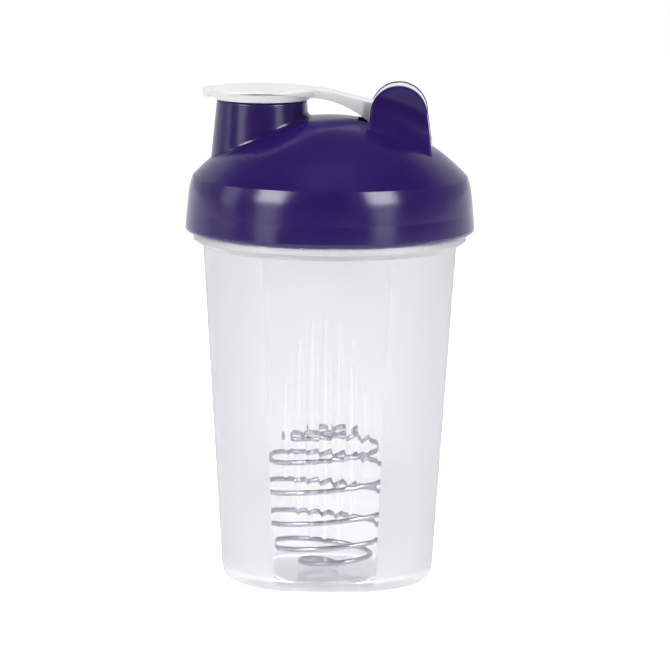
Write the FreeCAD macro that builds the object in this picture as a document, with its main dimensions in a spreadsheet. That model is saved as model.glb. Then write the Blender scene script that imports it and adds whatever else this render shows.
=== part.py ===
import FreeCAD, Part
import math
import os
import re
import Sketcher
from FreeCAD import Placement, Rotation, Vector

# Protein shaker bottle: a see-through cup with a flat front panel, a screw lid with a spout,
# a flip cap hinged between two ears of the lid, two seals and a loose whisk ball of wire.
# Millimetres, +Z up, origin at the middle of the foot. -X is the spout's side, -Y the panel's.

DIMENSIONS = {
    # cup
    "foot_radius": 34.5,        # wall's outside, carried down to the table
    "wall_lean": 0.065,         # outward lean of the wall for each millimetre of height
    "wall": 1.6,
    "foot_corner": 4,
    "foot_ring_inner": 27.5,
    "foot_recess": 1.2,
    "floor_top": 3,
    "body_top": 111.1,            # underside of the collar
    "panel_reach": 30.3,        # from the axis to the flat panel, at the table
    "panel_lean": 0.0515,
    "collar_radius": 44.9,
    "collar_low": 113.2,
    "collar_top": 115.3,
    "neck_radius": 42,
    "neck_bore": 40.2,
    "rim_top": 132.1,
    # field of ribs on the panel
    "rib_pitch": 4.3,
    "rib_field_half_width": 14.4,
    "rib_field_half_height": 39,
    "rib_field_middle": 55.1,
    "rib_sink": 4.8,            # from the panel's face down to a rib's axis
    "rib_height": 0.45,
    # screw thread
    "thread_lead": 6,
    "thread_crest": 43.9,
    "thread_start": 119.6,
    "thread_half_root": 1.2,
    "thread_half_crest": 0.6,
    "lid_thread_crest": 42.4,
    # lid
    "skirt_low": 115.7,
    "skirt_bore": 44.5,
    "band_low_radius": 47.7,
    "band_top_radius": 46.6,
    "band_top": 128.6,          # where the band turns in to the shoulder
    "band_edge": 1.5,
    "band_bulge": 90,           # radius of the two faint waves of the band
    "shoulder_radius": 20,
    "crease_radius": 45.3,
    "dome_radius": 61.2,
    "dome_top": 154.1,
    "dome_wall": 2,
    "seat": 133.7,
    "lip_outer": 39.8,
    "lip_wall": 1.6,
    "lip_low": 129.1,
    # spout
    "spout_x": -22.7,
    "spout_top": 159.2,
    "spout_radius": 14.9,
    "spout_base_radius": 16.7,
    "spout_base": 139.1,
    "spout_bore": 12.9,
    "spout_fillet": 1.8,
    # hinge
    "hinge_x": 22.4,
    "hinge_z": 155.4,
    "ear_radius": 9.4,
    "ear_gap": 12,
    "ear_half_span": 9,
    "ear_foot_half_span": 25,
    "ear_left_foot": 11.5,
    "ear_right_foot": 34.1,
    "ear_bevel": 0.6,
    "well_start": 9,          # where the ramp under the arm leaves the dome
    "well_radius": 13.8,
    "well_wall": 1.8,
    "pin_radius": 2.5,
    "pin_clearance": 0.05,
    "pin_reach": 8,
    # flip cap
    "cap_top": 163,
    "cap_half_width": 15.9,
    "tab_tip": -42.2,
    "tab_half_width": 5.2,
    "tab_corner": 2.5,
    "tab_neck": -38.6,
    "tab_thickness": 2.8,
    "disc_thickness": 2.1,
    "arm_half_width": 6.5,
    "arm_start": -5.4,          # where the arm leaves the disc
    "arm_end": 10.5,            # where it narrows to the hub's width
    "arm_drop": 10.4,           # from the flat top down to the underside at the hub
    "arm_crest": -7.5,          # where the flat top begins to fall away
    "arm_knee": 3.4,
    "arm_knee_drop": 1.7,
    "arm_foot": 14.6,
    "arm_foot_drop": 4.3,
    "puck_radius": 15.8,
    "puck_low": 159.5,
    "plug_radius": 12.4,
    "plug_tip_radius": 12,
    "plug_low": 155.5,
    "hub_radius": 9.15,
    "hub_width": 11.2,
    # seals
    "seal_gap": 0.3,
    "lid_seal_inner": 40.2,
    "lid_seal_outer": 43.6,
    "plug_seal_outer": 12.6,
    "plug_seal_groove": 11.3,
    "plug_seal_low": 156.6,
    "plug_seal_high": 158.4,
    # whisk ball
    "wire_radius": 0.85,
    "ball_radius": 26.2,
    "ball_half_height": 23,
    "ball_clearance": 0.3,
    "ball_half_turn": 13,       # degrees of latitude climbed in half a turn
    "ball_first_latitude": -82.8,
}
HALF_TURNS = 13
RIBS_EACH_SIDE = 3
CUP_THREAD_TURNS = 1.5
LID_THREAD_TURNS = 1.25

doc = FreeCAD.newDocument("shaker_bottle")
sheet = doc.addObject("Spreadsheet::Sheet", "dim")
for row, (alias, size) in enumerate(DIMENSIONS.items(), start=1):
    sheet.set(f"A{row}", alias)
    sheet.set(f"B{row}", str(size))
    sheet.setAlias(f"B{row}", alias)
doc.recompute()


def size(text):
    """The number that an expression of the sheet's names comes to."""
    return float(sheet.evalExpression(str(text)))


def bound(text):
    """The same expression as another object of the document writes it."""
    return re.sub(r"[a-z_]+", lambda word: f"dim.{word[0]}" if word[0] in DIMENSIONS else word[0],
                  str(text))


def bind(thing, **expressions):
    for name, text in expressions.items():
        thing.setExpression(name.replace("__", "."), bound(text))


def origin_plane(body, role):
    return next(feature for feature in body.Origin.OriginFeatures if feature.Role == role)


def side(start, end, radius):
    """One side of an outline: straight, or an arc that bulges right of the way if radius > 0."""
    if not radius:
        return Part.LineSegment(start, end)
    chord = end - start
    rise = abs(radius) - math.sqrt(max(radius ** 2 - chord.Length ** 2 / 4, 0))
    outward = Vector(chord.y, -chord.x, 0).normalize()
    middle = (start + end) / 2 + outward * math.copysign(rise, radius)
    return Part.Arc(start, middle, end)


def outline(body, name, corners, plane):
    """Closed sketch through corners given as (x, y) expressions.

    A third entry is the radius that bends the side arriving at that corner.
    """
    sketch = body.newObject("Sketcher::SketchObject", name)
    sketch.AttachmentSupport = [(origin_plane(body, plane), "")]
    sketch.MapMode = "FlatFace"
    points = [Vector(size(corner[0]), size(corner[1]), 0) for corner in corners]
    ends = []
    for index, start in enumerate(points):
        after = (index + 1) % len(points)
        bend = corners[after][2] if len(corners[after]) > 2 else 0
        radius = size(bend)
        piece = sketch.addGeometry(side(start, points[after], radius), False)
        forward = (sketch.getPoint(piece, 1) - start).Length < (sketch.getPoint(piece, 2) - start).Length
        ends.append((piece, 1, 2) if forward else (piece, 2, 1))
        if radius:
            held = sketch.addConstraint(Sketcher.Constraint("Radius", piece, abs(radius)))
            bind(sketch, **{f"Constraints[{held}]": f"abs({bend})"})
    for index, (piece, first, _) in enumerate(ends):
        before, _, last = ends[index - 1]
        sketch.addConstraint(Sketcher.Constraint("Coincident", before, last, piece, first))
        for kind, value, text in (("DistanceX", points[index].x, corners[index][0]),
                                  ("DistanceY", points[index].y, corners[index][1])):
            held = sketch.addConstraint(Sketcher.Constraint(kind, -1, 1, piece, first, value))
            bind(sketch, **{f"Constraints[{held}]": text})
    return sketch


def turned(name, corners, x=0, plane="XZ_Plane", axis="V_Axis"):
    """Body of revolution, about the vertical through x unless another plane and axis are given."""
    body = doc.addObject("PartDesign::Body", name)
    sketch = outline(body, f"{name}_profile", corners, plane)
    revolution = body.newObject("PartDesign::Revolution", f"{name}_turn")
    revolution.Profile = sketch
    revolution.ReferenceAxis = (sketch, [axis])
    revolution.Angle = 360
    bind(body, Placement__Base__x=x)
    return body


def padded(name, corners, plane, length):
    """Body padded both ways from one of its origin planes."""
    body = doc.addObject("PartDesign::Body", name)
    sketch = outline(body, f"{name}_profile", corners, plane)
    pad = body.newObject("PartDesign::Pad", f"{name}_pad")
    pad.Profile = sketch
    pad.Midplane = True
    bind(pad, Length=length)
    return body


def cross_pin(name, radius, length):
    """Cylinder on the hinge axis, centred between the ears."""
    pin = doc.addObject("Part::Cylinder", name)
    pin.Placement.Rotation = Rotation(Vector(1, 0, 0), -90)
    bind(pin, Radius=radius, Height=length, Placement__Base__x="hinge_x",
         Placement__Base__y=f"-({length}) / 2", Placement__Base__z="hinge_z")
    return pin


def fuse(name, *shapes):
    joined = doc.addObject("Part::MultiFuse", name)
    joined.Shapes = list(shapes)
    joined.Refine = False
    return joined


def common(name, *shapes):
    shared = doc.addObject("Part::MultiCommon", name)
    shared.Shapes = list(shapes)
    return shared


def cut(name, base, tool):
    rest = doc.addObject("Part::Cut", name)
    rest.Base = base
    rest.Tool = tool
    return rest


def filleted(name, base, radius, chosen, kind="Part::Fillet"):
    """Round or bevel the edges of base that the chosen test accepts."""
    doc.recompute()
    finished = doc.addObject(kind, name)
    finished.Base = base
    finished.Edges = [(number, size(radius), size(radius))
                      for number, edge in enumerate(base.Shape.Edges, start=1) if chosen(edge)]
    return finished


def thread(name, root, crest, start, turns):
    """Right-hand helical ridge about the axis, from root to crest, starting at height start."""
    body = doc.addObject("PartDesign::Body", name)
    corners = [(root, f"{start} - thread_half_root"), (crest, f"{start} - thread_half_crest"),
               (crest, f"{start} + thread_half_crest"), (root, f"{start} + thread_half_root")]
    sketch = outline(body, f"{name}_profile", corners, "XZ_Plane")
    ridge = body.newObject("PartDesign::AdditiveHelix", f"{name}_ridge")
    ridge.Profile = sketch
    ridge.ReferenceAxis = (sketch, ["V_Axis"])
    ridge.Mode = "pitch-height-angle"
    bind(ridge, Pitch="thread_lead", Height=f"thread_lead * {turns}")
    return body


def wall_radius(height):
    return f"(foot_radius + wall_lean * ({height}))"


def panel_reach(height):
    return f"(panel_reach + panel_lean * ({height}))"


def make_cup():
    outside = turned("cup_outside", [
        (0, "foot_recess"), ("foot_ring_inner - foot_recess", "foot_recess"), ("foot_ring_inner", 0),
        ("foot_radius - foot_corner", 0), (wall_radius("foot_corner"), "foot_corner", "foot_corner + 0.4"),
        (wall_radius("body_top"), "body_top"), ("collar_radius", "collar_low"),
        ("collar_radius", "collar_top"), ("neck_radius", "collar_top"), ("neck_radius", "rim_top"),
        (0, "rim_top")])
    hollow = turned("cup_hollow", [
        (0, "floor_top"), ("foot_radius - wall - foot_corner", "floor_top"),
        (f"{wall_radius('floor_top + foot_corner')} - wall", "floor_top + foot_corner",
         "foot_corner + 0.4"),
        (f"{wall_radius('body_top')} - wall", "body_top"), ("neck_bore", "body_top + wall"),
        ("neck_bore", "rim_top + 1"), (0, "rim_top + 1")])

    def beyond_panel(name, inset, top):
        return padded(name, [
            (f"-{panel_reach(-1)} + {inset}", -1), (f"-{panel_reach(top)} + {inset}", top),
            ("-2 * foot_radius", top), ("-2 * foot_radius", -1)], "YZ_Plane", "3 * foot_radius")

    panelled = cut("cup_panelled", outside, beyond_panel("panel_cut", 0, "body_top"))
    ribbed = fuse("cup_ribbed", panelled, *make_ribs())
    panelled_hollow = cut("cup_panelled_hollow", hollow,
                          beyond_panel("panel_fill", "wall", "body_top + wall"))
    shell = cut("cup_shell", ribbed, panelled_hollow)
    cup_thread = thread("cup_thread", "neck_radius - 0.6", "thread_crest", "thread_start",
                        CUP_THREAD_TURNS)
    return fuse("cup", shell, cup_thread)


def make_ribs():
    """Upright ribs whose tips follow an ellipse: long barrels sunk in the panel."""
    ribs = []
    spare = 0.15
    tilt = Rotation(Vector(1, 0, 0), math.degrees(math.atan(size("panel_lean"))))
    for place in range(-RIBS_EACH_SIDE, RIBS_EACH_SIDE + 1):
        share = f"sqrt(1 - ({place} * rib_pitch / rib_field_half_width) ^ 2)"
        height = f"(rib_height * {share})"
        bend = f"((rib_field_half_height * {share}) ^ 2 / (2 * {height}))"
        half = f"(rib_field_half_height * {share} * sqrt(1 + {spare} / {height}))"
        rib = turned(f"rib_{place + RIBS_EACH_SIDE + 1}", [
            (0, f"-{half}"), (f"rib_sink - {spare}", f"-{half}"),
            (f"rib_sink - {spare}", half, bend), (0, half)])
        rib.Placement.Rotation = tilt
        bind(rib, Placement__Base__x=f"{place} * rib_pitch",
             Placement__Base__y=f"rib_sink - {panel_reach('rib_field_middle')}",
             Placement__Base__z="rib_field_middle")
        ribs.append(rib)
    return ribs


def dome_height(radius, inset=0):
    return f"(dome_top - dome_radius + sqrt((dome_radius - {inset}) ^ 2 - ({radius}) ^ 2))"


def band_corner(share):
    """A corner of the band, share of the way from its rounded lower edge to its top."""
    return (f"band_low_radius + {share} * (band_top_radius - band_low_radius)",
            f"skirt_low + band_edge + {share} * (band_top - skirt_low - band_edge)")


def make_lid():
    outside = turned("lid_outside", [
        (0, "skirt_low"), ("band_low_radius - band_edge", "skirt_low"),
        (*band_corner(0), "band_edge"), (*band_corner(0.5), "band_bulge"),
        (*band_corner(1), "band_bulge"),
        ("crease_radius", dome_height("crease_radius"), "shoulder_radius"),
        (0, "dome_top", "dome_radius")])
    lip_inner = "lip_outer - lip_wall"
    hollow = turned("lid_hollow", [
        (0, "skirt_low - 1"), ("skirt_bore", "skirt_low - 1"), ("skirt_bore", "seat"),
        ("lip_outer", "seat"), ("lip_outer", "lip_low"), (lip_inner, "lip_low"),
        (lip_inner, dome_height(lip_inner, "dome_wall")),
        (0, "dome_top - dome_wall", "dome_radius - dome_wall")])
    spout = turned("spout", [
        (0, "spout_base"), ("spout_base_radius", "spout_base"), ("spout_radius", "spout_top - 1"),
        ("spout_radius - 0.8", "spout_top", 0.9), (0, "spout_top")], x="spout_x")
    bore = turned("spout_passage", [
        (0, "seat"), ("spout_bore", "seat"), ("spout_bore", "spout_top + 1"), (0, "spout_top + 1")],
        x="spout_x")
    blended = filleted("lid_blended", fuse("lid_solid", outside, spout), "spout_fillet", spout_joint)
    mass = fuse("lid_mass", blended, make_ears())
    bump = cross_pin("well_bump", "well_radius + well_wall", "ear_gap + 2 * well_wall")
    room = cut("lid_room", hollow, bump)
    holes = cross_pin("pin_holes", "pin_radius + pin_clearance", "2 * pin_reach + 0.6")
    opened = cut("lid_opened", mass, fuse("lid_voids", room, bore, make_well(), holes))
    lid_thread = thread("lid_thread", "skirt_bore + 0.6", "lid_thread_crest",
                        "(thread_start + thread_lead / 2)", LID_THREAD_TURNS)
    return fuse("lid", opened, lid_thread)


def spout_joint(edge):
    """The closed curve where the spout's wall meets the dome."""
    box = edge.BoundBox
    wide = abs(box.XLength - 2 * size("spout_base_radius")) < 2.5
    return wide and abs(box.Center.x - size("spout_x")) < 1.5 and box.ZLength > 1


def make_ears():
    """Both hinge ears as one arch whose foot flares into the dome; the well parts them later."""
    low = "hinge_z - 17"
    arch = padded("ear_arch", [
        ("ear_left_foot", low), ("ear_right_foot", low),
        ("hinge_x + ear_radius", "hinge_z"), ("hinge_x", "hinge_z + ear_radius", "ear_radius"),
        ("hinge_x - ear_radius", "hinge_z", "ear_radius")], "XZ_Plane", "3 * ear_foot_half_span")
    flare = "(ear_foot_half_span - ear_half_span)"
    foot = "sqrt(dome_radius ^ 2 - ear_foot_half_span ^ 2) - 0.3"
    top = "dome_radius + 2 * ear_radius"
    flank = turned("ear_flare", [
        ("-ear_foot_half_span", "dome_radius - 10"), ("ear_foot_half_span", "dome_radius - 10"),
        ("ear_foot_half_span", foot), ("ear_half_span", f"{foot} + {flare}", f"-{flare}"),
        ("ear_half_span - 0.3", top), ("-ear_half_span + 0.3", top),
        ("-ear_half_span", f"{foot} + {flare}"), ("-ear_foot_half_span", foot, f"-{flare}")],
        plane="YZ_Plane", axis="H_Axis")
    bind(flank, Placement__Base__z="dome_top - dome_radius")
    ears = common("ear_block", arch, flank)
    return filleted("ears", ears, "ear_bevel", ear_rim, "Part::Chamfer")


def ear_rim(edge):
    """The edges round the front and back faces, above the dome."""
    box = edge.BoundBox
    on_side = abs(box.Center.y) > size("ear_gap") / 2
    return on_side and box.ZMax > size("hinge_z - 4") and box.ZLength > 1


def make_well():
    """Room between the ears for the hub and its tail, with a ramp for the arm."""
    low = "hinge_z - well_radius"
    top = "hinge_z + ear_radius + 2"
    return padded("hinge_well", [
        ("well_start", top), ("well_start", f"{dome_height('well_start')} - 0.2"),
        ("hinge_x - well_radius + 1.2", "hinge_z - 5"),
        ("hinge_x", low, "well_radius"), ("hinge_x + well_radius", "hinge_z", "well_radius"),
        ("hinge_x + well_radius", top)], "XZ_Plane", "ear_gap")


def make_flip_cap():
    middle = "spout_x"
    front = "cap_half_width - arm_half_width"

    def egg(reach):
        """Radius of the disc's edge between its widest point and the arm or tab."""
        return f"((({reach}) ^ 2 + ({front}) ^ 2) / (2 * ({front})))"

    plan = padded("cap_plan", [
        ("hinge_x", "-hub_width / 2"), ("hinge_x", "hub_width / 2"), ("arm_end + 2", "hub_width / 2"),
        ("arm_end", "arm_half_width"), ("arm_start", "arm_half_width"),
        (middle, "cap_half_width", egg(f"arm_start - {middle}")),
        ("tab_neck", "arm_half_width", egg(f"{middle} - tab_neck")),
        ("tab_tip + tab_corner", "tab_half_width"),
        ("tab_tip", "tab_half_width - tab_corner", "tab_corner"),
        ("tab_tip", "tab_corner - tab_half_width"),
        ("tab_tip + tab_corner", "-tab_half_width", "tab_corner"),
        ("tab_neck", "-arm_half_width"),
        (middle, "-cap_half_width", egg(f"{middle} - tab_neck")),
        ("arm_start", "-arm_half_width", egg(f"arm_start - {middle}")),
        ("arm_end", "-arm_half_width"), ("arm_end + 2", "-hub_width / 2")], "XY_Plane", "3 * cap_top")
    side_view = padded("cap_side", [
        ("tab_tip - 1", "cap_top - tab_thickness"), ("tab_neck", "cap_top - tab_thickness"),
        ("tab_neck + 1.4", "cap_top - disc_thickness"),
        ("arm_start - 0.6", "cap_top - disc_thickness - 0.5", -71),
        ("arm_end + 2", "cap_top - arm_drop", -30), ("hinge_x - 2", "hinge_z - 7"),
        ("hinge_x", "hinge_z"), ("arm_foot", "cap_top - arm_foot_drop"),
        ("arm_knee", "cap_top - arm_knee_drop"), ("arm_crest", "cap_top", 32),
        ("tab_tip - 1", "cap_top")], "XZ_Plane", "4 * cap_half_width")
    blade = filleted("cap_blade", common("cap_plate", plan, side_view), 0.7, cap_top_edge)
    puck = turned("cap_plug", [
        (0, "cap_top - 1"), (0, "plug_low"), ("plug_tip_radius - 0.6", "plug_low"),
        ("plug_tip_radius", "plug_low + 0.6"), ("plug_radius", "plug_seal_low"),
        ("plug_seal_groove", "plug_seal_low"), ("plug_seal_groove", "plug_seal_high"),
        ("plug_radius", "plug_seal_high"), ("plug_radius", "puck_low"), ("puck_radius", "puck_low"),
        ("puck_radius", "cap_top - 1")], x="spout_x")
    hub = padded("cap_hub", [
        ("hinge_x - hub_radius", "hinge_z", "hub_radius"),
        ("hinge_x", "hinge_z - hub_radius", "hub_radius"), ("hinge_x + 6.5", "hinge_z - 9.2"),
        ("hinge_x + 10.4", "hinge_z - 8.2", 4), ("hinge_x + hub_radius", "hinge_z"),
        ("hinge_x", "hinge_z + hub_radius", "hub_radius")], "XZ_Plane", "hub_width")
    pins = cross_pin("cap_pins", "pin_radius", "2 * pin_reach")
    return fuse("flip_cap", blade, puck, hub, pins)


def cap_top_edge(edge):
    """The rim of the cap's flat top."""
    box = edge.BoundBox
    return box.ZMin > size("cap_top") - 0.01 and box.XMax < size("arm_start") + 0.1


def make_lid_gasket():
    low = "rim_top + seal_gap"
    high = "seat - seal_gap"
    return turned("lid_gasket", [
        ("lid_seal_inner", low), ("lid_seal_outer", low), ("lid_seal_outer", high),
        ("lid_seal_inner", high)])


def make_spout_gasket():
    low = "plug_seal_low"
    high = "plug_seal_high"
    return turned("spout_gasket", [
        ("plug_seal_groove", low), ("plug_seal_outer - 0.5", low),
        ("plug_seal_outer", f"({low} + {high}) / 2", 1.05), ("plug_seal_outer - 0.5", high, 1.05),
        ("plug_seal_groove", high)], x="spout_x")


def make_whisk_ball():
    """One wire: half turns in front and behind by turns, each a flat semicircle that leaves and
    meets the XZ plane square on, so that all of them join smoothly."""
    middle = size("floor_top + ball_clearance + wire_radius + ball_half_height")

    def end_point(step):
        latitude = math.radians(size(f"ball_first_latitude + {step} * ball_half_turn"))
        way = 1 if step % 2 == 0 else -1
        return Vector(way * size("ball_radius") * math.cos(latitude), 0,
                      middle + size("ball_half_height") * math.sin(latitude))

    arcs = []
    for step in range(HALF_TURNS):
        start, end = end_point(step), end_point(step + 1)
        bulge = Vector(0, (end - start).Length / 2 * (1 if step % 2 == 0 else -1), 0)
        arcs.append(Part.Arc(start, (start + end) / 2 + bulge, end).toShape())
    path = Part.Wire(arcs)
    section = Part.Wire(Part.makeCircle(size("wire_radius"), end_point(0), Vector(0, 1, 0)))
    ball = doc.addObject("Part::Feature", "whisk_ball")
    ball.Shape = path.makePipeShell([section], True, False)
    ball.Placement = Placement()
    return ball


def check_document():
    doc.recompute()
    for item in doc.Objects:
        if {"Invalid", "Error"} & set(item.State):
            raise RuntimeError(f"{item.Name} failed: {item.State}")


def write_parts(parts):
    os.makedirs("parts", exist_ok=True)
    for part in parts:
        part.Label = part.Name
        shape = part.Shape
        if shape.isNull() or not shape.isValid():
            raise RuntimeError(f"{part.Name} has no valid shape")
        print(f"{part.Name}: {len(shape.Solids)} solid, {shape.Volume / 1000:.2f} cm3")
        shape.exportStep(f"parts/{part.Name}.step")


sub_parts = [make_cup(), make_lid(), make_flip_cap(), make_lid_gasket(), make_spout_gasket(),
             make_whisk_ball()]
check_document()
write_parts(sub_parts)
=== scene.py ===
import math

import bmesh
import bpy
from mathutils import Matrix, Vector


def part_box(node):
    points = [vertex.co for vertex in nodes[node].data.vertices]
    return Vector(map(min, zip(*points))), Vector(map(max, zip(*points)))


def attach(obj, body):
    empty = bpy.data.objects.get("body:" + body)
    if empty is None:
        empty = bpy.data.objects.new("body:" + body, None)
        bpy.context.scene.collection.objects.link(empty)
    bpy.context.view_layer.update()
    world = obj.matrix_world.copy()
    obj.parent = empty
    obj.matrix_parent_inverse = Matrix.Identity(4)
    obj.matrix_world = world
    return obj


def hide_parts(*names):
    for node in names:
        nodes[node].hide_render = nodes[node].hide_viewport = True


# Protein shaker bottle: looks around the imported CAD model. Metres, +Z up, origin at the foot's centre.

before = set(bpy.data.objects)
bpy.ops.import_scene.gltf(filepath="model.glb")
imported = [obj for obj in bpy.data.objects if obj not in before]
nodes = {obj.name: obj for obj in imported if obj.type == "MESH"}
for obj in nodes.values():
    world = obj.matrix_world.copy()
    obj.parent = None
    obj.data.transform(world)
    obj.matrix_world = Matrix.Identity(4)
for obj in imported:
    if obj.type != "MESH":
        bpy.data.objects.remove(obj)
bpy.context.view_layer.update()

MM = 0.001
TAU = 2 * math.pi

CUP_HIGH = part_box("cup")[1]
BALL_LOW, BALL_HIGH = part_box("whisk_ball")

# ---------------------------------------------------------------- cup, with the CAD's sizes
FOOT_RADIUS = 34.5 * MM
WALL_LEAN = 0.065                # radius gained for each unit of height
WALL = 1.6 * MM
FOOT_CORNER = 4 * MM
FOOT_RING_INNER = 27.5 * MM
FOOT_RING_ROUND = 0.3 * MM
FOOT_RECESS = 1.2 * MM
FLOOR_TOP = 3 * MM
BODY_TOP = 111.1 * MM
PANEL_REACH = 30.3 * MM         # from the cup's axis to the flat front panel, at the foot
PANEL_LEAN = 0.0515
COLLAR_RADIUS = CUP_HIGH.x
COLLAR_LOW = 113.2 * MM
COLLAR_TOP = 115.3 * MM
COLLAR_ROUND = 0.5 * MM
NECK_RADIUS = 42 * MM
NECK_BORE = 40.2 * MM
RIM_TOP = CUP_HIGH.z
RIM_ROUND = 0.35 * MM

RIB_PITCH = 4.3 * MM
RIB_FIELD_HALF_WIDTH = 14.4 * MM
RIB_FIELD_HALF_HEIGHT = 39 * MM
RIB_FIELD_MIDDLE = 55.1 * MM
RIB_SINK = 4.8 * MM
RIB_HEIGHT = 0.45 * MM
RIBS_EACH_SIDE = 3
# The strip along each rib's crest is a painted highlight: a lighter, less clear material standing in for
# the ribs' glints.
CREST_HIGHLIGHT_HALF_WIDTH = 0.42 * MM
CREST_HIGHLIGHT_RISE = 0.05 * MM           # a rib's crest gets its painted highlight where it stands out at least this far

THREAD_LEAD = 6 * MM
THREAD_HEIGHT = 1.9 * MM
THREAD_START = 119.6 * MM
THREAD_TURNS = 1.5
THREAD_FADE = 0.03              # turns over which each end of the thread runs out
THREAD_HALF_ROOT = 1.2 * MM
THREAD_HALF_CREST = 0.6 * MM

WALL_SPACING, NECK_SPACING, INSIDE_SPACING, FLAT_SPACING = 0.9 * MM, 0.25 * MM, 1.8 * MM, 3 * MM
AXIS_RADIUS = 0.01 * MM         # a row nearer the axis than this is a single point
FIELD_HALF = 14.7 * MM          # the rib field's columns stand at fixed x, this far to each side
FULL_FIELD_RADIUS = 1.5 * FIELD_HALF     # smaller rows squeeze those columns together
PANEL_MARGIN = 1 * MM           # at least this much from the field to the edge of the panel
PANEL_SHARE = 0.9               # the panel's columns reach at most this share of a row's radius
PANEL_COLUMNS = 4               # columns from the field to each edge of the panel
FIELD_COLUMNS = 112
ROUND_COLUMNS = 176
COLUMNS = FIELD_COLUMNS + 2 * PANEL_COLUMNS + ROUND_COLUMNS
PANEL_LOW = FLOOR_TOP + 0.4 * MM      # below this the panel is frosted like the foot
ON_PANEL = 0.1 * MM                   # a face this close to the panel's plane is on the panel
# The third finish is the painted highlight on the ribs' crests.
POLISHED, FROSTED, CREST_HIGHLIGHT = 0, 1, 2


def wall_radius(height):
    return FOOT_RADIUS + WALL_LEAN * height


def panel_reach(height):
    return PANEL_REACH + PANEL_LEAN * height


def rib_rise(x, height):
    """How far the panel's outer face stands out at x, by whichever rib is highest there."""
    rise = 0.0
    for place in range(-RIBS_EACH_SIDE, RIBS_EACH_SIDE + 1):
        middle = place * RIB_PITCH
        share = math.sqrt(1 - (middle / RIB_FIELD_HALF_WIDTH) ** 2)
        along = (height - RIB_FIELD_MIDDLE) / (RIB_FIELD_HALF_HEIGHT * share)
        radius = RIB_SINK + RIB_HEIGHT * share * (1 - along ** 2)
        across = x - middle
        if radius > RIB_SINK and abs(across) < radius:
            rise = max(rise, math.sqrt(radius ** 2 - across ** 2) - RIB_SINK)
    return rise


def thread_rise(angle, height):
    """Height of the screw ridge on the neck at that angle, 0 clear of it."""
    for turn in range(3):
        travel = angle / TAU + turn
        if not 0 <= travel <= THREAD_TURNS:
            continue
        away = abs(height - THREAD_START - travel * THREAD_LEAD)
        flank = THREAD_HALF_ROOT - THREAD_HALF_CREST
        fade = min(1, travel / THREAD_FADE, (THREAD_TURNS - travel) / THREAD_FADE)
        ridge = min(1, max(0, (THREAD_HALF_ROOT - away) / flank)) * fade
        if ridge:
            return THREAD_HEIGHT * ridge
    return 0.0


def arc_rows(centre, radius, start, end, steps, part):
    """Rows of the cup's section along an arc, angles in degrees."""
    angles = [math.radians(start + (end - start) * step / steps) for step in range(steps + 1)]
    return [(centre[0] + radius * math.cos(a), centre[1] + radius * math.sin(a), part) for a in angles]


def levels(start, end, spacing):
    """Even steps from start to end, about spacing apart."""
    count = max(1, round(abs(end - start) / spacing))
    return [start + (end - start) * step / count for step in range(count + 1)]


def cup_rows():
    """The cup's section, from the middle of its underside out, up, over the rim and down inside.

    Each row is (radius, height, part of the wall).
    """
    rows = [(r, FOOT_RECESS, "under") for r in levels(0, FOOT_RING_INNER - FOOT_RECESS, FLAT_SPACING)]
    rows += [(FOOT_RING_INNER, FOOT_RING_ROUND / 2, "under"),
             (FOOT_RING_INNER + FOOT_RING_ROUND, 0, "under")]
    corner = (FOOT_RADIUS - FOOT_CORNER, FOOT_CORNER)
    rows += arc_rows(corner, FOOT_CORNER, -90, 0, 12, "wall")
    rows += [(wall_radius(z), z, "wall")
             for z in levels(FOOT_CORNER + 0.5 * MM, BODY_TOP, WALL_SPACING)]
    rows += [(wall_radius(BODY_TOP), BODY_TOP, "collar")]
    rows += [(COLLAR_RADIUS - 0.3 * MM, COLLAR_LOW - 0.2 * MM, "collar"),
             (COLLAR_RADIUS, COLLAR_LOW, "collar")]
    rows += arc_rows((COLLAR_RADIUS - COLLAR_ROUND, COLLAR_TOP - COLLAR_ROUND), COLLAR_ROUND,
                     0, 90, 4, "collar")
    rows += [(NECK_RADIUS, COLLAR_TOP, "collar")]
    rows += [(NECK_RADIUS, z, "neck")
             for z in levels(COLLAR_TOP + 0.25 * MM, RIM_TOP - 0.5 * MM, NECK_SPACING)]
    rows += arc_rows((NECK_RADIUS - RIM_ROUND, RIM_TOP - RIM_ROUND), RIM_ROUND, 0, 90, 3, "rim")
    rows += arc_rows((NECK_BORE + RIM_ROUND, RIM_TOP - RIM_ROUND), RIM_ROUND, 90, 180, 3, "rim")
    rows += [(NECK_BORE, z, "inner_neck")
             for z in levels(RIM_TOP - 2 * MM, BODY_TOP + WALL, FLAT_SPACING)]
    rows += [(wall_radius(z) - WALL, z, "inside")
             for z in levels(BODY_TOP, FLOOR_TOP + FOOT_CORNER, INSIDE_SPACING)]
    inner_corner = (wall_radius(FLOOR_TOP) - WALL - FOOT_CORNER, FLOOR_TOP + FOOT_CORNER)
    rows += arc_rows(inner_corner, FOOT_CORNER, -6, -90, 8, "inside")
    rows += [(r, FLOOR_TOP, "inside")
             for r in levels(inner_corner[0] - FLAT_SPACING, 0, FLAT_SPACING)]
    return rows


def panel_half_width(radius, height):
    """Half of the chord that the flat panel cuts from a round row."""
    return math.sqrt(max(radius ** 2 - panel_reach(height) ** 2, 0))


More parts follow.
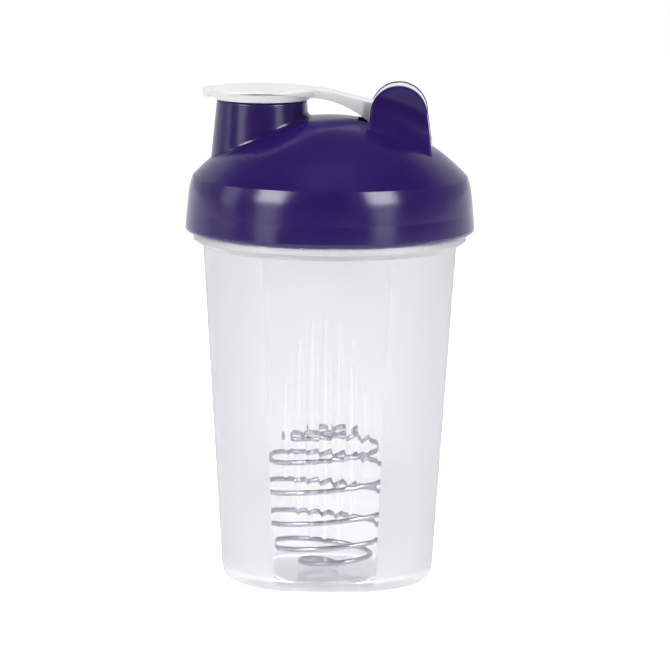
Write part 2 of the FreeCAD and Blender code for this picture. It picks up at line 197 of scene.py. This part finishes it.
def column_point(column, radius, height):
    """x and y of a column on a round row: fixed x across the rib field, then out to the panel's
    edge, then even angles round the back."""
    half = FIELD_HALF * min(1, radius / FULL_FIELD_RADIUS)
    panel = min(max(panel_half_width(radius, height), half + PANEL_MARGIN), PANEL_SHARE * radius)
    if column <= FIELD_COLUMNS:
        x = half * (2 * column / FIELD_COLUMNS - 1)
    elif column <= FIELD_COLUMNS + PANEL_COLUMNS:
        x = half + (panel - half) * (column - FIELD_COLUMNS) / PANEL_COLUMNS
    elif column >= COLUMNS - PANEL_COLUMNS:
        x = -half - (panel - half) * (COLUMNS - column) / PANEL_COLUMNS
    else:
        edge = math.asin(panel / radius)
        share = (column - FIELD_COLUMNS - PANEL_COLUMNS) / (COLUMNS - FIELD_COLUMNS - 2 * PANEL_COLUMNS)
        angle = -math.pi / 2 + edge + (TAU - 2 * edge) * share
        return radius * math.cos(angle), radius * math.sin(angle)
    return x, -math.sqrt(max(radius ** 2 - x ** 2, 0))


def cup_point(column, row):
    radius, height, part = row
    x, y = column_point(column, radius, height)
    if part == "neck":
        outward = 1 + thread_rise(math.atan2(y, x), height) / radius
        return x * outward, y * outward, height
    if part == "wall" and y < -panel_reach(height):
        y = -panel_reach(height) - rib_rise(x, height)
    if part == "inside" and y < -(panel_reach(height) - WALL):
        y = -(panel_reach(height) - WALL)
    if part == "under" and y < -(panel_reach(0) - FOOT_RECESS):
        y = -(panel_reach(0) - FOOT_RECESS)
    return x, y, height


def in_crest_highlight(x, height):
    """Whether that place of the panel is on the narrow crest of the nearest rib, where the painted
    highlight goes.
    """
    place = min(max(round(x / RIB_PITCH), -RIBS_EACH_SIDE), RIBS_EACH_SIDE)
    return abs(x - place * RIB_PITCH) < CREST_HIGHLIGHT_HALF_WIDTH and rib_rise(x, height) > CREST_HIGHLIGHT_RISE


def finish_of(face):
    """The flat panel above the cup's floor, the inside and the neck are polished, the ribs' crests carry
    a painted highlight in a lighter, milkier material, and the rest of the outside is frosted."""
    middle = face.calc_center_median()
    outer = face.normal.x * middle.x + face.normal.y * middle.y > 0
    on_panel = outer and middle.y < ON_PANEL - panel_reach(middle.z)
    if on_panel and PANEL_LOW < middle.z < BODY_TOP:
        return CREST_HIGHLIGHT if in_crest_highlight(middle.x, middle.z) else POLISHED
    underneath = middle.z < FLOOR_TOP - 0.5 * MM
    return FROSTED if (outer or underneath) and middle.z < COLLAR_TOP else POLISHED


def build_cup():
    """Closed shell of the cup: each row of its section is a ring of columns."""
    mesh = bmesh.new()
    rings = []
    for row in cup_rows():
        if row[0] < AXIS_RADIUS:
            rings.append([mesh.verts.new((0, 0, row[1]))])
        else:
            rings.append([mesh.verts.new(cup_point(column, row)) for column in range(COLUMNS)])
    for lower, upper in zip(rings, rings[1:]):
        for column in range(COLUMNS):
            after = (column + 1) % COLUMNS
            around = [lower[column % len(lower)], lower[after % len(lower)],
                      upper[after % len(upper)], upper[column % len(upper)]]
            corners = [vert for index, vert in enumerate(around) if vert not in around[:index]]
            mesh.faces.new(corners)
    bmesh.ops.recalc_face_normals(mesh, faces=mesh.faces)
    for face in mesh.faces:
        face.smooth = True
        face.material_index = finish_of(face)
    return finished("cup_shell", mesh, [cup_polished(), cup_frosted(), cup_crest_highlight()],
                    "cup", "cup")


def finished(name, mesh, materials, body, node):
    """Turn a bmesh into a piece that rides on body, stands for node and has a sharp-edge shade."""
    data = bpy.data.meshes.new(name)
    mesh.to_mesh(data)
    mesh.free()
    piece = bpy.data.objects.new(name, data)
    bpy.context.scene.collection.objects.link(piece)
    for material in materials:
        data.materials.append(material)
    data.set_sharp_from_angle(angle=math.radians(40))
    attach(piece, body)
    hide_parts(node)
    return piece


# ---------------------------------------------------------------- whisk ball, with the CAD's sizes
BALL_REACH = 26.2 * MM           # from the ball's middle to the wire's middle line
BALL_HALF_HEIGHT = 23 * MM
WIRE_RADIUS = 0.85 * MM
WIRE_END_RISE = 0.25 * MM
HALF_TURNS = 13
HALF_TURN_CLIMB = 13             # degrees of latitude
FIRST_LATITUDE = -82.8
TURN_STEPS = 40
SECTION_STEPS = 20


def ball_line():
    """Middle line of the wire: flat semicircles, in front and behind by turns."""
    middle = (BALL_LOW.z + BALL_HIGH.z) / 2

    def end_point(step):
        latitude = math.radians(FIRST_LATITUDE + step * HALF_TURN_CLIMB)
        way = 1 if step % 2 == 0 else -1
        return Vector((way * BALL_REACH * math.cos(latitude), 0,
                       middle + BALL_HALF_HEIGHT * math.sin(latitude)))

    line = []
    for step in range(HALF_TURNS):
        start, end = end_point(step), end_point(step + 1)
        behind = 1 if step % 2 == 0 else -1
        sideways = Vector((0, behind * (end - start).length / 2, 0))
        for share in range(TURN_STEPS):
            turn = math.pi * share / TURN_STEPS
            line.append((start + end) / 2 + (start - end) / 2 * math.cos(turn)
                        + sideways * math.sin(turn))
    line.append(end_point(HALF_TURNS))
    return line


def build_ball():
    """Round wire swept along the line, each end closed by a low cone."""
    line = ball_line()
    mesh = bmesh.new()
    rings = []
    last = len(line) - 1
    for index, point in enumerate(line):
        ahead = (line[min(index + 1, last)] - line[max(index - 1, 0)]).normalized()
        across = ahead.cross(Vector((0, 0, 1))).normalized()
        up = across.cross(ahead)
        rings.append([mesh.verts.new(point + WIRE_RADIUS * (across * math.cos(TAU * s / SECTION_STEPS)
                                                            + up * math.sin(TAU * s / SECTION_STEPS)))
                      for s in range(SECTION_STEPS)])
    for first, second in zip(rings, rings[1:]):
        for s in range(SECTION_STEPS):
            after = (s + 1) % SECTION_STEPS
            mesh.faces.new((first[s], first[after], second[after], second[s]))
    for ring, way in ((rings[0], line[0] - line[1]), (rings[-1], line[-1] - line[-2])):
        centre = sum((vert.co for vert in ring), Vector()) / len(ring)
        tip = mesh.verts.new(centre + way.normalized() * WIRE_END_RISE)
        for s in range(SECTION_STEPS):
            mesh.faces.new((ring[s], ring[(s + 1) % SECTION_STEPS], tip))
    bmesh.ops.recalc_face_normals(mesh, faces=mesh.faces)
    for face in mesh.faces:
        face.smooth = True
    return finished("whisk_wire", mesh, [wire_steel()], "whisk_ball", "whisk_ball")


# ---------------------------------------------------------------- materials
class Nodes:
    """Short calls for building one material's node tree."""

    def __init__(self, name):
        self.material = bpy.data.materials.new(name)
        self.material.use_nodes = True
        self.tree = self.material.node_tree
        self.shader = self.tree.nodes["Principled BSDF"]

    def add(self, kind, **settings):
        node = self.tree.nodes.new(kind)
        for name, value in settings.items():
            if name in node.inputs.keys():
                node.inputs[name].default_value = value
            else:
                setattr(node, name, value)
        return node

    def link(self, source, target):
        self.tree.links.new(source, target)

    def set(self, **values):
        for name, value in values.items():
            self.shader.inputs[name.replace("_", " ")].default_value = value

    def noise(self, scale, detail=2.0, roughness=0.5, stretch=(1, 1, 1)):
        """Noise in object space; scale is in features for each metre."""
        where = self.add("ShaderNodeTexCoord")
        spread = self.add("ShaderNodeMapping")
        spread.inputs["Scale"].default_value = stretch
        self.link(where.outputs["Object"], spread.inputs["Vector"])
        noise = self.add("ShaderNodeTexNoise", Scale=scale, Detail=detail, Roughness=roughness)
        self.link(spread.outputs["Vector"], noise.inputs["Vector"])
        return noise.outputs["Fac"]

    def spread(self, value, start, end, low, high):
        """value from start to end spread over low to high, and held at them outside that."""
        limits = {"From Min": start, "From Max": end, "To Min": low, "To Max": high}
        spread = self.add("ShaderNodeMapRange", **limits)
        self.link(value, spread.inputs["Value"])
        return spread.outputs["Result"]

    def ramp(self, noise, low, high):
        """Noise, most of which lies from 0.3 to 0.7, spread over low to high."""
        return self.spread(noise, 0.3, 0.7, low, high)

    def tint(self, noise, low, high):
        """Colour from low to high by noise."""
        mix = self.add("ShaderNodeMix", data_type="RGBA")
        self.link(self.ramp(noise, 0, 1), mix.inputs["Factor"])
        for socket in mix.inputs:
            if socket.type == "RGBA":
                socket.default_value = (*low, 1) if socket.name == "A" else (*high, 1)
        return next(socket for socket in mix.outputs if socket.type == "RGBA")

    def bump(self, layers):
        """Bump from (height, distance) layers, finest last."""
        normal = None
        for height, distance in layers:
            bump = self.add("ShaderNodeBump", Strength=1.0, Distance=distance)
            self.link(height, bump.inputs["Height"])
            if normal:
                self.link(normal, bump.inputs["Normal"])
            normal = bump.outputs["Normal"]
        self.link(normal, self.shader.inputs["Normal"])


def lid_violet():
    """Glossy violet polypropylene with the faint waviness of a moulding."""
    look = Nodes("lid_violet")
    cloud = look.noise(45, 3)
    look.link(look.tint(cloud, (0.0195, 0.0070, 0.094), (0.0235, 0.0085, 0.109)),
              look.shader.inputs["Base Color"])
    look.link(look.ramp(look.noise(160, 4), 0.16, 0.22), look.shader.inputs["Roughness"])
    look.set(Specular_IOR_Level=0.36)
    look.bump([(look.noise(90, 2), 0.06 * MM), (look.noise(1400, 2), 0.006 * MM)])
    return look.material


def cap_white():
    """Satin white polypropylene."""
    look = Nodes("cap_white")
    look.link(look.tint(look.noise(60, 3), (0.73, 0.73, 0.75), (0.76, 0.76, 0.78)),
              look.shader.inputs["Base Color"])
    look.link(look.ramp(look.noise(220, 3), 0.3, 0.42), look.shader.inputs["Roughness"])
    look.set(Subsurface_Weight=0.45, Subsurface_Scale=1.5 * MM, Subsurface_Radius=(1, 1, 1))
    look.bump([(look.noise(120, 2), 0.04 * MM), (look.noise(2200, 2), 0.006 * MM)])
    return look.material


def see_through(name, colour, rough_low, rough_high, transmission):
    """Clear plastic, clearer the higher its transmission, and frosted by its roughness."""
    look = Nodes(name)
    look.set(IOR=1.45, Transmission_Weight=transmission)
    darker = tuple(share * 0.985 for share in colour)
    look.link(look.tint(look.noise(40, 3), darker, colour), look.shader.inputs["Base Color"])
    look.link(look.ramp(look.noise(150, 3), rough_low, rough_high), look.shader.inputs["Roughness"])
    return look


def cup_polished():
    look = see_through("cup_polished", (0.923, 0.924, 0.94), 0.03, 0.06, 0.93)
    look.bump([(look.noise(110, 2), 0.03 * MM)])
    return look.material


# Painted highlight: a lighter, less clear strip on each rib's crest stands in for the glints along the
# ribs.
def cup_crest_highlight():
    look = see_through("cup_crest_highlight", (0.985, 0.985, 0.99), 0.04, 0.08, 0.74)
    look.bump([(look.noise(110, 2), 0.03 * MM)])
    return look.material


def cup_frosted():
    look = see_through("cup_frosted", (0.914, 0.918, 0.938), 0.55, 0.62, 0.64)
    look.bump([(look.noise(3200, 3, 0.6), 0.01 * MM)])
    return look.material


def wire_steel():
    """Bright drawn wire, with fine marks along it."""
    look = Nodes("wire_steel")
    look.link(look.tint(look.noise(300, 3), (0.33, 0.33, 0.42), (0.44, 0.44, 0.52)),
              look.shader.inputs["Base Color"])
    look.link(look.ramp(look.noise(900, 3), 0.14, 0.24), look.shader.inputs["Roughness"])
    look.set(Metallic=1.0)
    look.bump([(look.noise(2600, 3), 0.008 * MM)])
    return look.material


def seal_silicone():
    look = Nodes("seal_silicone")
    look.link(look.tint(look.noise(80, 3), (0.62, 0.63, 0.65), (0.70, 0.70, 0.72)),
              look.shader.inputs["Base Color"])
    look.link(look.ramp(look.noise(260, 3), 0.4, 0.55), look.shader.inputs["Roughness"])
    look.set(Subsurface_Weight=0.4, Subsurface_Scale=1.5 * MM)
    look.bump([(look.noise(1500, 2), 0.01 * MM)])
    return look.material


def dress(node, material):
    """Give a CAD node its finish."""
    piece = nodes[node]
    piece.data.materials.clear()
    piece.data.materials.append(material)


# ---------------------------------------------------------------- stage, lights and camera
AIM = Vector((2 * MM, 0, 81.1 * MM))
CAMERA_DISTANCE = 2.2
CAMERA_AZIMUTH = 1.4
CAMERA_ELEVATION = 8.2
CAMERA_ROLL = 0.5
CAMERA_LENS = 358
FRONT_GLOW, SIDE_GLOW, BACK_GLOW = 0.04, 0.15, 0.9     # world light from in front, beside, behind
OVERHEAD_FROM, OVERHEAD_FULL = 0.45, 0.75     # the glow fades upwards between these heights
OVERHEAD_SHARE = 0.22
FLOOR_RADIUS = 40
FLOOR_GLOW, FAR_FLOOR_GLOW = 0.71, 0.9        # within NEAR_FLOOR of the object, and past FAR_FLOOR
NEAR_FLOOR, FAR_FLOOR = 0.8, 4
LAMP_DISTANCE, TOP_DISTANCE = 1.4, 1.2


def direction(azimuth, elevation):
    """Unit vector from the object towards a place, azimuth 0 being the front, +X to its right."""
    a, e = math.radians(azimuth), math.radians(elevation)
    return Vector((math.sin(a) * math.cos(e), -math.cos(a) * math.cos(e), math.sin(e)))


def build_stage():
    """White paper floor that glows a little, so that it shows white out to the horizon."""
    mesh = bmesh.new()
    bmesh.ops.create_circle(mesh, cap_ends=True, segments=64, radius=FLOOR_RADIUS)
    data = bpy.data.meshes.new("floor")
    mesh.to_mesh(data)
    mesh.free()
    floor = bpy.data.objects.new("floor", data)
    bpy.context.scene.collection.objects.link(floor)
    look = Nodes("floor_paper")
    look.link(look.tint(look.noise(3, 2), (0.90, 0.90, 0.905), (0.92, 0.92, 0.925)),
              look.shader.inputs["Base Color"])
    look.set(Roughness=0.9, Specular_IOR_Level=0.1, Emission_Color=(1, 1, 1, 1))
    where = look.add("ShaderNodeTexCoord")
    away = look.add("ShaderNodeVectorMath", operation="LENGTH")
    look.link(where.outputs["Object"], away.inputs["Vector"])
    glow = look.spread(away.outputs["Value"], NEAR_FLOOR, FAR_FLOOR, FLOOR_GLOW, FAR_FLOOR_GLOW)
    look.link(glow, look.shader.inputs["Emission Strength"])
    data.materials.append(look.material)


def softbox(name, azimuth, elevation, distance, size, power, shows=True):
    """Area lamp facing the object, size being its width and height.

    One that shows is only mirrored by glossy surfaces; the others only light the dull ones.
    """
    light = bpy.data.lights.new(name, "AREA")
    light.shape = "RECTANGLE"
    light.size, light.size_y = size
    light.energy = power
    lamp = bpy.data.objects.new(name, light)
    lamp.location = AIM + direction(azimuth, elevation) * distance
    lamp.rotation_mode = "QUATERNION"
    lamp.rotation_quaternion = direction(azimuth, elevation).to_track_quat("Z", "Y")
    lamp.visible_glossy = shows
    lamp.visible_diffuse = not shows
    bpy.context.scene.collection.objects.link(lamp)


def build_lights():
    """Dark studio in front and bright low down behind, with a softbox at each front corner."""
    world = bpy.data.worlds.new("studio")
    world.use_nodes = True
    tree = world.node_tree
    where = tree.nodes.new("ShaderNodeTexCoord")
    split = tree.nodes.new("ShaderNodeSeparateXYZ")
    tree.links.new(where.outputs["Generated"], split.inputs["Vector"])
    depth = tree.nodes.new("ShaderNodeMapRange")
    depth.inputs["From Min"].default_value = -1
    tree.links.new(split.outputs["Y"], depth.inputs["Value"])
    ramp = tree.nodes.new("ShaderNodeValToRGB")
    ramp.color_ramp.interpolation = "B_SPLINE"
    ramp.color_ramp.elements[0].color = (FRONT_GLOW, FRONT_GLOW, FRONT_GLOW, 1)
    ramp.color_ramp.elements[1].color = (BACK_GLOW, BACK_GLOW, BACK_GLOW, 1)
    ramp.color_ramp.elements.new(0.5).color = (SIDE_GLOW, SIDE_GLOW, SIDE_GLOW, 1)
    tree.links.new(depth.outputs["Result"], ramp.inputs["Fac"])
    tree.links.new(ramp.outputs["Color"], tree.nodes["Background"].inputs["Color"])
    overhead = tree.nodes.new("ShaderNodeMapRange")
    overhead.interpolation_type = "SMOOTHSTEP"
    overhead.inputs["From Min"].default_value = OVERHEAD_FROM
    overhead.inputs["From Max"].default_value = OVERHEAD_FULL
    overhead.inputs["To Min"].default_value = 1
    overhead.inputs["To Max"].default_value = OVERHEAD_SHARE
    tree.links.new(split.outputs["Z"], overhead.inputs["Value"])
    tree.links.new(overhead.outputs["Result"], tree.nodes["Background"].inputs["Strength"])
    bpy.context.scene.world = world
    softbox("left_box", -49, 24, LAMP_DISTANCE, (0.56, 0.6), 16)
    softbox("right_box", 45, 24, LAMP_DISTANCE, (0.56, 0.6), 16)
    softbox("left_strip", -50, 5, LAMP_DISTANCE, (0.42, 0.26), 0.8)
    softbox("right_strip", 45, 5, LAMP_DISTANCE, (0.42, 0.26), 0.8)
    softbox("left_side", -88, 16, LAMP_DISTANCE, (0.4, 0.6), 1.6)
    softbox("left_fill", -50, 30, LAMP_DISTANCE, (0.5, 0.5), 4.2, shows=False)
    softbox("right_fill", 45, 30, LAMP_DISTANCE, (0.5, 0.5), 4.2, shows=False)
    softbox("top_fill", 0, 89, TOP_DISTANCE, (0.6, 0.6), 11.5, shows=False)


def build_camera():
    """Long lens above and in front of the object, looking slightly down."""
    data = bpy.data.cameras.new("camera")
    data.lens = CAMERA_LENS
    data.sensor_width = 36
    data.clip_start = 0.1
    data.clip_end = 100
    camera = bpy.data.objects.new("camera", data)
    back = direction(CAMERA_AZIMUTH, CAMERA_ELEVATION)
    camera.location = AIM + back * CAMERA_DISTANCE
    turn = back.to_track_quat("Z", "Y").to_matrix().to_4x4()
    turn = turn @ Matrix.Rotation(math.radians(CAMERA_ROLL), 4, "Z")
    camera.rotation_mode = "QUATERNION"
    camera.rotation_quaternion = turn.to_quaternion()
    bpy.context.scene.collection.objects.link(camera)
    bpy.context.scene.camera = camera


def set_render():
    """Plain colours, and enough bounces to see through the cup's walls."""
    scene = bpy.context.scene
    scene.view_settings.view_transform = "Standard"
    scene.cycles.max_bounces = 24
    scene.cycles.transmission_bounces = 20


build_cup()
build_ball()
dress("lid", lid_violet())
dress("flip_cap", cap_white())
silicone = seal_silicone()
dress("lid_gasket", silicone)
dress("spout_gasket", silicone)
build_stage()
build_lights()
build_camera()
set_render()
